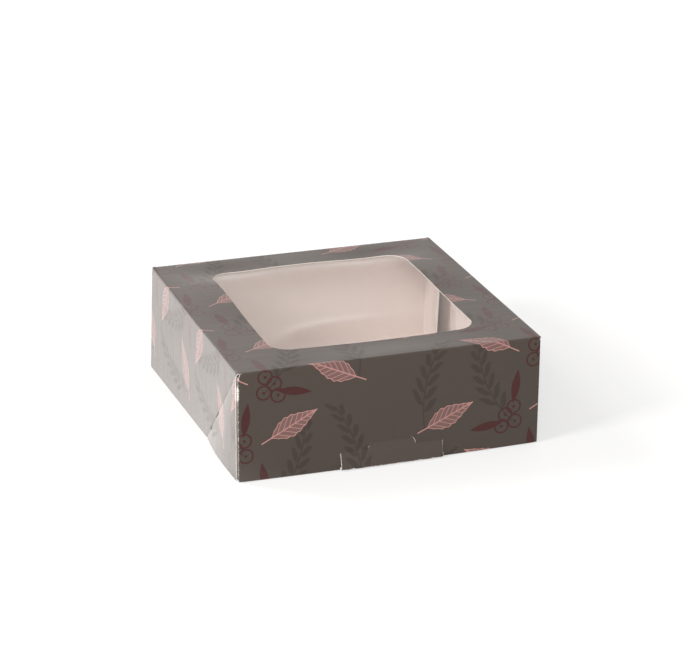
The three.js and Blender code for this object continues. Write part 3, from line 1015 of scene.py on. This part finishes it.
class CAKEBOX_OT_lid(bpy.types.Operator):
    """Makes the lid: its panel with the window, its skirts and its gussets"""

    bl_idname = "cakebox.lid"
    bl_label = "Lid"

    def execute(self, context):
        reach = context.scene.cake_box_board.hinge_reach
        sheet(Panel(
            "lid_panel", "lid", 2, TOP, 1,
            [(-HALF_WIDTH, FRONT), (HALF_WIDTH, FRONT), (HALF_WIDTH, BACK), (WALL_HALF, BACK),
             (WALL_HALF, BACK - reach), (-WALL_HALF, BACK - reach), (-WALL_HALF, BACK), (-HALF_WIDTH, BACK)],
            unfold_level, bend_lid, (-HALF_WIDTH, FRONT, -OPEN), (HALF_WIDTH, OPEN, TOP),
            holes=[rounded_rectangle(WINDOW_LOW, WINDOW_HIGH, WINDOW_CORNER)]))
        sheet(self.front_skirt())
        for name, side in SIDES:
            for panel in self.side_panels(name, side, context.scene.cake_box_board):
                sheet(panel)
        return {"FINISHED"}

    @staticmethod
    def front_skirt():
        """The front skirt, cut out around the lock tab and its tongue."""
        crease = LOCK_CREASE
        notch, tongue = LOCK_HALF + SLIT, TONGUE_HALF + SLIT
        corner = TONGUE_CORNER + SLIT
        level = crease + TONGUE_HEIGHT + SLIT - corner
        outline = [
            (FRONT_HALF, SKIRT_BOTTOM), (FRONT_HALF, TOP - RELIEF_HEIGHT),
            (FRONT_HALF - RELIEF_WIDTH, TOP), (-FRONT_HALF + RELIEF_WIDTH, TOP),
            (-FRONT_HALF, TOP - RELIEF_HEIGHT), (-FRONT_HALF, SKIRT_BOTTOM),
            (-notch, SKIRT_BOTTOM), (-notch, crease - SLIT_END), (-notch, crease), (-tongue, crease),
            *arc((-tongue + corner, level), corner, 180, 90), *arc((tongue - corner, level), corner, 90, 0),
            (tongue, crease), (notch, crease), (notch, crease - SLIT_END), (notch, SKIRT_BOTTOM),
        ]
        rows = [((x, SLIT_ROW_FOOT), (x, crease))
                for row in SLIT_ROWS for x in (-notch - row, notch + row)]
        return Panel("lid_front_skirt", "lid", 1, FRONT, -1, outline, unfold_front, bend_lid,
                     (-FRONT_HALF, FRONT, -OPEN), (FRONT_HALF, OPEN, TOP), lines=rows)

    @staticmethod
    def side_panels(name, side, board):
        """A side skirt and its gusset, either side of the crease that falls from the top front corner."""
        top, foot = (FRONT, TOP), (FRONT + TOP - SKIRT_BOTTOM, SKIRT_BOTTOM)
        skirt = [top, foot, (SKIRT_REAR, SKIRT_BOTTOM), (SKIRT_REAR, TOP)]
        edge = FRONT + GUSSET_SETBACK
        gusset = [(edge, TOP - GUSSET_SETBACK), (edge, SKIRT_BOTTOM), foot]
        behind, ahead = sorted(beside(top, foot, board), key=lambda line: -line[0][0])
        shared = dict(body="lid", axis=0, at=side * HALF_WIDTH, out=side, unfold=partial(unfold_side, side),
                      bend=bend_lid, low=(-HALF_WIDTH, -OPEN, -OPEN), high=(HALF_WIDTH, OPEN, TOP))
        return (Panel(f"lid_{name}_skirt", outline=skirt, lines=[behind], **shared),
                Panel(f"lid_{name}_gusset", outline=gusset, lines=[ahead], **shared))


class CAKEBOX_OT_lid_tabs(bpy.types.Operator):
    """Makes the two tabs that fold back from the front skirt, and their glue"""

    bl_idname = "cakebox.lid_tabs"
    bl_label = "Lid glue tabs"

    def execute(self, context):
        bottom, tip = LID_TAB_LOW.z, LID_TAB_HIGH.y
        slope = LID_TAB_HIGH.z + LID_TAB_LOW.y
        outline = [(FRONT, bottom), (tip, bottom), (tip, slope - tip), (FRONT, slope - FRONT)]
        for name, side in SIDES:
            unfold = partial(unfold_lid_tab, side)
            sheet(Panel(
                f"lid_{name}_glue_tab", "lid", 0, side * FRONT_HALF, side, outline, unfold, bend_lid,
                (-FRONT_HALF, FRONT, -OPEN), (FRONT_HALF, OPEN, OPEN)))
            low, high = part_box(f"lid_{name}_glue_patch")
            patch = [(low.y, low.z), (high.y, low.z), (high.y, high.z + low.y - high.y), (low.y, high.z)]
            sheet(Panel(
                f"lid_{name}_glue_patch", "lid", 0, max(side * low.x, side * high.x) * side, side, patch,
                unfold, bend_lid, thickness=high.x - low.x, slot="glue", finishes=GLUE_FACES))
        return {"FINISHED"}


class CAKEBOX_OT_window(bpy.types.Operator):
    """Makes the window film and the band of glue that holds it under the lid"""

    bl_idname = "cakebox.window"
    bl_label = "Window"

    def execute(self, context):
        radius = WINDOW_CORNER + FILM_OVERLAP
        sheet(Panel(
            "window_film", "lid", 2, FILM_HIGH.z, 1,
            rounded_rectangle(FILM_LOW, FILM_HIGH, radius), unfold_level, bend_film,
            thickness=FILM_HIGH.z - FILM_LOW.z, slot="clear_film", finishes=FILM_FACES))
        outside = WINDOW_CORNER + WINDOW_LOW[0] - BAND_LOW.x
        hole_low = [c - BAND_INSET for c in WINDOW_LOW]
        hole_high = [c + BAND_INSET for c in WINDOW_HIGH]
        sheet(Panel(
            "film_glue_band", "lid", 2, BAND_HIGH.z, 1,
            rounded_rectangle(BAND_LOW, BAND_HIGH, outside), unfold_level, bend_lid,
            holes=[rounded_rectangle(hole_low, hole_high, WINDOW_CORNER + BAND_INSET)],
            thickness=BAND_HIGH.z - BAND_LOW.z, slot="glue", finishes=GLUE_FACES))
        return {"FINISHED"}


class CAKEBOX_OT_lock_tab(bpy.types.Operator):
    """Makes the lock tab, which rocks its tongue into the tray's slot"""

    bl_idname = "cakebox.lock_tab"
    bl_label = "Lock tab"

    def execute(self, context):
        crease = LOCK_CREASE
        level = crease + TONGUE_HEIGHT - TONGUE_CORNER
        inset = TONGUE_HALF - TONGUE_CORNER
        outline = [
            (-LOCK_HALF, SKIRT_BOTTOM), (LOCK_HALF, SKIRT_BOTTOM), (LOCK_HALF, crease - SLIT_END),
            (LOCK_HALF, crease), (TONGUE_HALF, crease),
            *arc((inset, level), TONGUE_CORNER, 0, 90), *arc((-inset, level), TONGUE_CORNER, 90, 180),
            (-TONGUE_HALF, crease), (-LOCK_HALF, crease), (-LOCK_HALF, crease - SLIT_END),
        ]
        rows = [((x, SLIT_ROW_FOOT), (x, crease - SLIT_END))
                for row in SLIT_ROWS for x in (-LOCK_HALF + row, LOCK_HALF - row)]
        sheet(Panel("lock_tab", "lock_tab", 1, FRONT, -1, outline, unfold_front, self.kick, lines=rows))
        return {"FINISHED"}

    @staticmethod
    def kick(points):
        """Turns the tab about its crease, with the bow of the skirt that it is cut from."""
        turn = Matrix.Rotation(-LOCK_KICK, 3, "X")
        turned = (points - LOCK_PIVOT) @ np.array(turn).T + LOCK_PIVOT
        bow = bend_lid(points) - points
        return turned + bow


class CAKEBOX_OT_tray(bpy.types.Operator):
    """Makes the tray: its base, its four walls and its gussets"""

    bl_idname = "cakebox.tray"
    bl_label = "Tray"

    def execute(self, context):
        board = context.scene.cake_box_board
        sheet(Panel(
            "base_panel", "tray", 2, 0.0, -1,
            rectangle((-TRAY_HALF, TRAY_FRONT), (TRAY_HALF, BACK)), unfold_base, bend_tray,
            (-TRAY_HALF, TRAY_FRONT, 0.0), (TRAY_HALF, BACK, OPEN)))
        slot_half = TONGUE_HALF + SLOT_CLEARANCE
        slot_bottom = LOCK_CREASE - SLOT_BELOW_CREASE
        slot_top = LOCK_CREASE + TONGUE_HEIGHT + SLOT_ABOVE_TONGUE
        slot = rectangle((-slot_half, slot_bottom), (slot_half, slot_top))
        walls = (
            ("tray_front_wall", TRAY_FRONT, -1, WALL_TOP, unfold_tray_front, [slot]),
            ("tray_back_wall", BACK, 1, TOP - board.hinge_reach, unfold_back, []),
        )
        for node, at, out, top, unfold, holes in walls:
            outline = rectangle((-WALL_HALF, 0.0), (WALL_HALF, top))
            sheet(Panel(node, "tray", 1, at, out, outline, unfold, bend_tray,
                        (-WALL_HALF, TRAY_FRONT, 0.0), (WALL_HALF, BACK, OPEN), holes=holes))
        for name, side in SIDES:
            self.side_wall(name, side)
        return {"FINISHED"}

    @staticmethod
    def side_wall(name, side):
        """A side wall between the creases that rise from its bottom corners, and the gusset outside each."""
        shared = dict(body="tray", axis=0, at=side * TRAY_HALF, out=side, bend=bend_tray,
                      unfold=partial(unfold_tray_side, side),
                      low=(-TRAY_HALF, -OPEN, 0.0), high=(TRAY_HALF, OPEN, OPEN))
        feet = [(edge, 0.0) for _, (edge, _) in TRAY_ENDS]
        tops = [(edge + inward * WALL_TOP, WALL_TOP) for _, (edge, inward) in TRAY_ENDS]
        sheet(Panel(f"tray_{name}_wall", outline=[feet[0], feet[1], tops[1], tops[0]], **shared))
        for (end, (edge, _)), foot, top in zip(TRAY_ENDS, feet, tops):
            sheet(Panel(f"tray_{end}_{name}_gusset", outline=[foot, top, (edge, WALL_TOP)], **shared))


class CAKEBOX_OT_tray_tabs(bpy.types.Operator):
    """Makes the tray's four glue tabs, folded off its front and back walls, and their glue"""

    bl_idname = "cakebox.tray_tabs"
    bl_label = "Tray glue tabs"

    def execute(self, context):
        spring = context.scene.cake_box_board.tab_spring
        bottom, top = TRAY_TAB_LOW.z, TRAY_TAB_HIGH.z
        for name, side in SIDES:
            for end_name, end in TRAY_ENDS:
                edge, inward = end
                tip = edge + inward * TAB_REACH
                outline = [(edge, bottom), (tip - inward * TAB_CHAMFER, bottom), (tip, bottom + TAB_CHAMFER),
                           (tip, top), (edge, top)]
                lift = spring if (name, end_name) == LOOSE_TAB else HELD_SHARE * spring
                sheet(Panel(
                    f"tray_{end_name}_{name}_glue_tab", "tray", 0, side * WALL_HALF, side, outline,
                    partial(unfold_tray_tab, side, end), partial(bend_tab, spring=lift, side=side, end=end),
                    (-WALL_HALF, TRAY_FRONT, -OPEN), (WALL_HALF, BACK, OPEN), finishes=BARE_FACES))
                patch = frame["nodes"][f"tray_{end_name}_{name}_glue_patch"]
                patch.data.materials.clear()
                patch.data.materials.append(finish_of("glue"))
        return {"FINISHED"}


class HingeStrip(Panel):
    """The board that bends at the lid's hinge. Its outline runs up the back wall and over onto the lid."""

    def stand(self, flat):
        across, over = flat[:, 0], flat[:, 1]
        return np.column_stack([across, BACK - np.maximum(over, 0), TOP + np.minimum(over, 0)])

    def attach(self, piece):
        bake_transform(piece)


class CAKEBOX_OT_hinge(bpy.types.Operator):
    """Makes the strip of board that bends as the lid opens, between the back wall and the lid"""

    bl_idname = "cakebox.hinge"
    bl_label = "Hinge crease"

    def execute(self, context):
        reach = context.scene.cake_box_board.hinge_reach
        outline = rectangle((-WALL_HALF, -reach), (WALL_HALF, reach))
        rows = [((-WALL_HALF + GRID, over), (WALL_HALF - GRID, over)) for over in (-HINGE_ROW, HINGE_ROW)]
        sheet(HingeStrip(
            "hinge_crease", "tray", 1, BACK, 1, outline, unfold_hinge, bend_lid,
            (-OPEN, -OPEN, -OPEN), (OPEN, BACK, TOP), lines=rows))
        return {"FINISHED"}


# The studio in metres: its lights by name, setting, place and size, its floor, and the camera's near and far
SOFTBOXES = (
    ("key", "key_power", (-0.35, -1.4, 0.68), 0.6),
    ("side light", "side_power", (-1.29, -0.44, 0.92), 0.4),
    ("back light", "back_power", (-1.0, 0.75, 1.25), 0.45),
)
FLOOR_HALF, FLOOR_DROP = 6.0, 0.2 * MM
CLIP_NEAR, CLIP_FAR = 0.05, 50.0
# Where the backdrop dims: along a direction, and over a range of how far a ray goes along it
DIM_TOWARDS, DIM_RANGE = (1.6, 0.3, 0.83), (0.8, 1.3)


class CAKEBOX_OT_stage(bpy.types.Operator):
    """Makes the floor, the light and the camera"""

    bl_idname = "cakebox.stage"
    bl_label = "Stage"

    def execute(self, context):
        stage = context.scene.cake_box_stage
        context.scene.view_settings.view_transform = "Standard"
        self.floor(context)
        self.surroundings(context, stage)
        for name, setting, place, size in SOFTBOXES:
            self.softbox(context, name, getattr(stage, setting), place, size)
        self.camera(context, stage)
        return {"FINISHED"}

    @staticmethod
    def floor(context):
        """A wide floor just under the box."""
        mesh = bpy.data.meshes.new("floor")
        corners = rectangle((-FLOOR_HALF, -FLOOR_HALF), (FLOOR_HALF, FLOOR_HALF))
        mesh.from_pydata([(*corner, -FLOOR_DROP) for corner in corners], [], [(0, 1, 2, 3)])
        mesh.materials.append(finish_of("floor"))
        floor = bpy.data.objects.new("floor", mesh)
        context.scene.collection.objects.link(floor)

    @staticmethod
    def surroundings(context, stage):
        """Even light all round. To the camera and in mirrors it is a white backdrop, dimmer overhead."""
        world = bpy.data.worlds.new("white studio")
        world.use_nodes = True
        world.node_tree.nodes.clear()
        add = partial(add_node, world.node_tree)
        path = add("LightPath")
        mirrored = path.outputs["Is Glossy Ray"]
        seen = add("Math MAXIMUM", path.outputs["Is Camera Ray"], mirrored)
        seen = add("Math MAXIMUM", seen, path.outputs["Is Transmission Ray"])
        direction = add("TexCoord").outputs["Generated"]
        shade = add("VectorMath DOT_PRODUCT", direction, DIM_TOWARDS)
        backdrop = add("MapRange", shade, *DIM_RANGE, 1.0, stage.overhead)
        strength = add("Mix", seen, stage.ambient, backdrop, data_type="FLOAT")
        tint = add("Mix", mirrored, WHITE, opaque(stage.mirror_tint), data_type="RGBA")
        add("OutputWorld", add("Background", {"Color": tint, "Strength": strength}))
        context.scene.world = world

    @staticmethod
    def softbox(context, name, power, place, size):
        """A square softbox, aimed at the middle of the lid and kept out of its gloss."""
        light = bpy.data.lights.new(name, "AREA")
        light.size = size
        light.energy = power
        softbox = bpy.data.objects.new(name, light)
        softbox.location = place
        softbox.visible_glossy = False
        softbox.rotation_euler = (Vector((0, 0, TOP)) - Vector(place)).to_track_quat("-Z", "Y").to_euler()
        context.scene.collection.objects.link(softbox)

    @staticmethod
    def camera(context, stage):
        """The camera, placed about its target by its angles and its distance."""
        turn, lift = stage.azimuth, stage.elevation
        back = Vector((math.sin(turn) * math.cos(lift), -math.cos(turn) * math.cos(lift), math.sin(lift)))
        level = Vector((math.cos(turn), math.sin(turn), 0.0))
        upward = back.cross(level)
        right = level * math.cos(stage.roll) + upward * math.sin(stage.roll)
        data = bpy.data.cameras.new("camera")
        data.lens = stage.lens
        data.clip_start, data.clip_end = CLIP_NEAR, CLIP_FAR
        camera = bpy.data.objects.new("camera", data)
        place = Matrix((right, back.cross(right), back)).transposed().to_4x4()
        place.translation = Vector(stage.target) + stage.distance * back
        camera.matrix_world = place
        context.scene.collection.objects.link(camera)
        context.scene.camera = camera


GROUPS = {
    "cake_box_board": CakeBoxBoard, "cake_box_print": CakeBoxPrint, "cake_box_stage": CakeBoxStage,
}
OPERATORS = (
    CAKEBOX_OT_stage, CAKEBOX_OT_lid, CAKEBOX_OT_lid_tabs, CAKEBOX_OT_window, CAKEBOX_OT_lock_tab,
    CAKEBOX_OT_tray, CAKEBOX_OT_tray_tabs, CAKEBOX_OT_hinge,
)


class CAKEBOX_PT_panel(bpy.types.Panel):
    """Lists the box's sizes and colours, and the operators that make its pieces"""

    bl_idname = "CAKEBOX_PT_panel"
    bl_label = "Cake Box"
    bl_space_type = "VIEW_3D"
    bl_region_type = "UI"
    bl_category = "Cake Box"

    def draw(self, context):
        for name, group in GROUPS.items():
            box = self.layout.box()
            settings = getattr(context.scene, name)
            for key in group.__annotations__:
                box.prop(settings, key)
        for operator in OPERATORS:
            self.layout.operator(operator.bl_idname)


def register():
    for name, group in GROUPS.items():
        bpy.utils.register_class(group)
        setattr(bpy.types.Scene, name, bpy.props.PointerProperty(type=group))
    for operator in OPERATORS:
        bpy.utils.register_class(operator)
    bpy.utils.register_class(CAKEBOX_PT_panel)


def unregister():
    bpy.utils.unregister_class(CAKEBOX_PT_panel)
    for operator in reversed(OPERATORS):
        bpy.utils.unregister_class(operator)
    for name, group in GROUPS.items():
        delattr(bpy.types.Scene, name)
        bpy.utils.unregister_class(group)


def main():
    register()
    for operator in OPERATORS:
        group, name = operator.bl_idname.split(".")
        getattr(getattr(bpy.ops, group), name)()


if __name__ == "__main__":
    main()
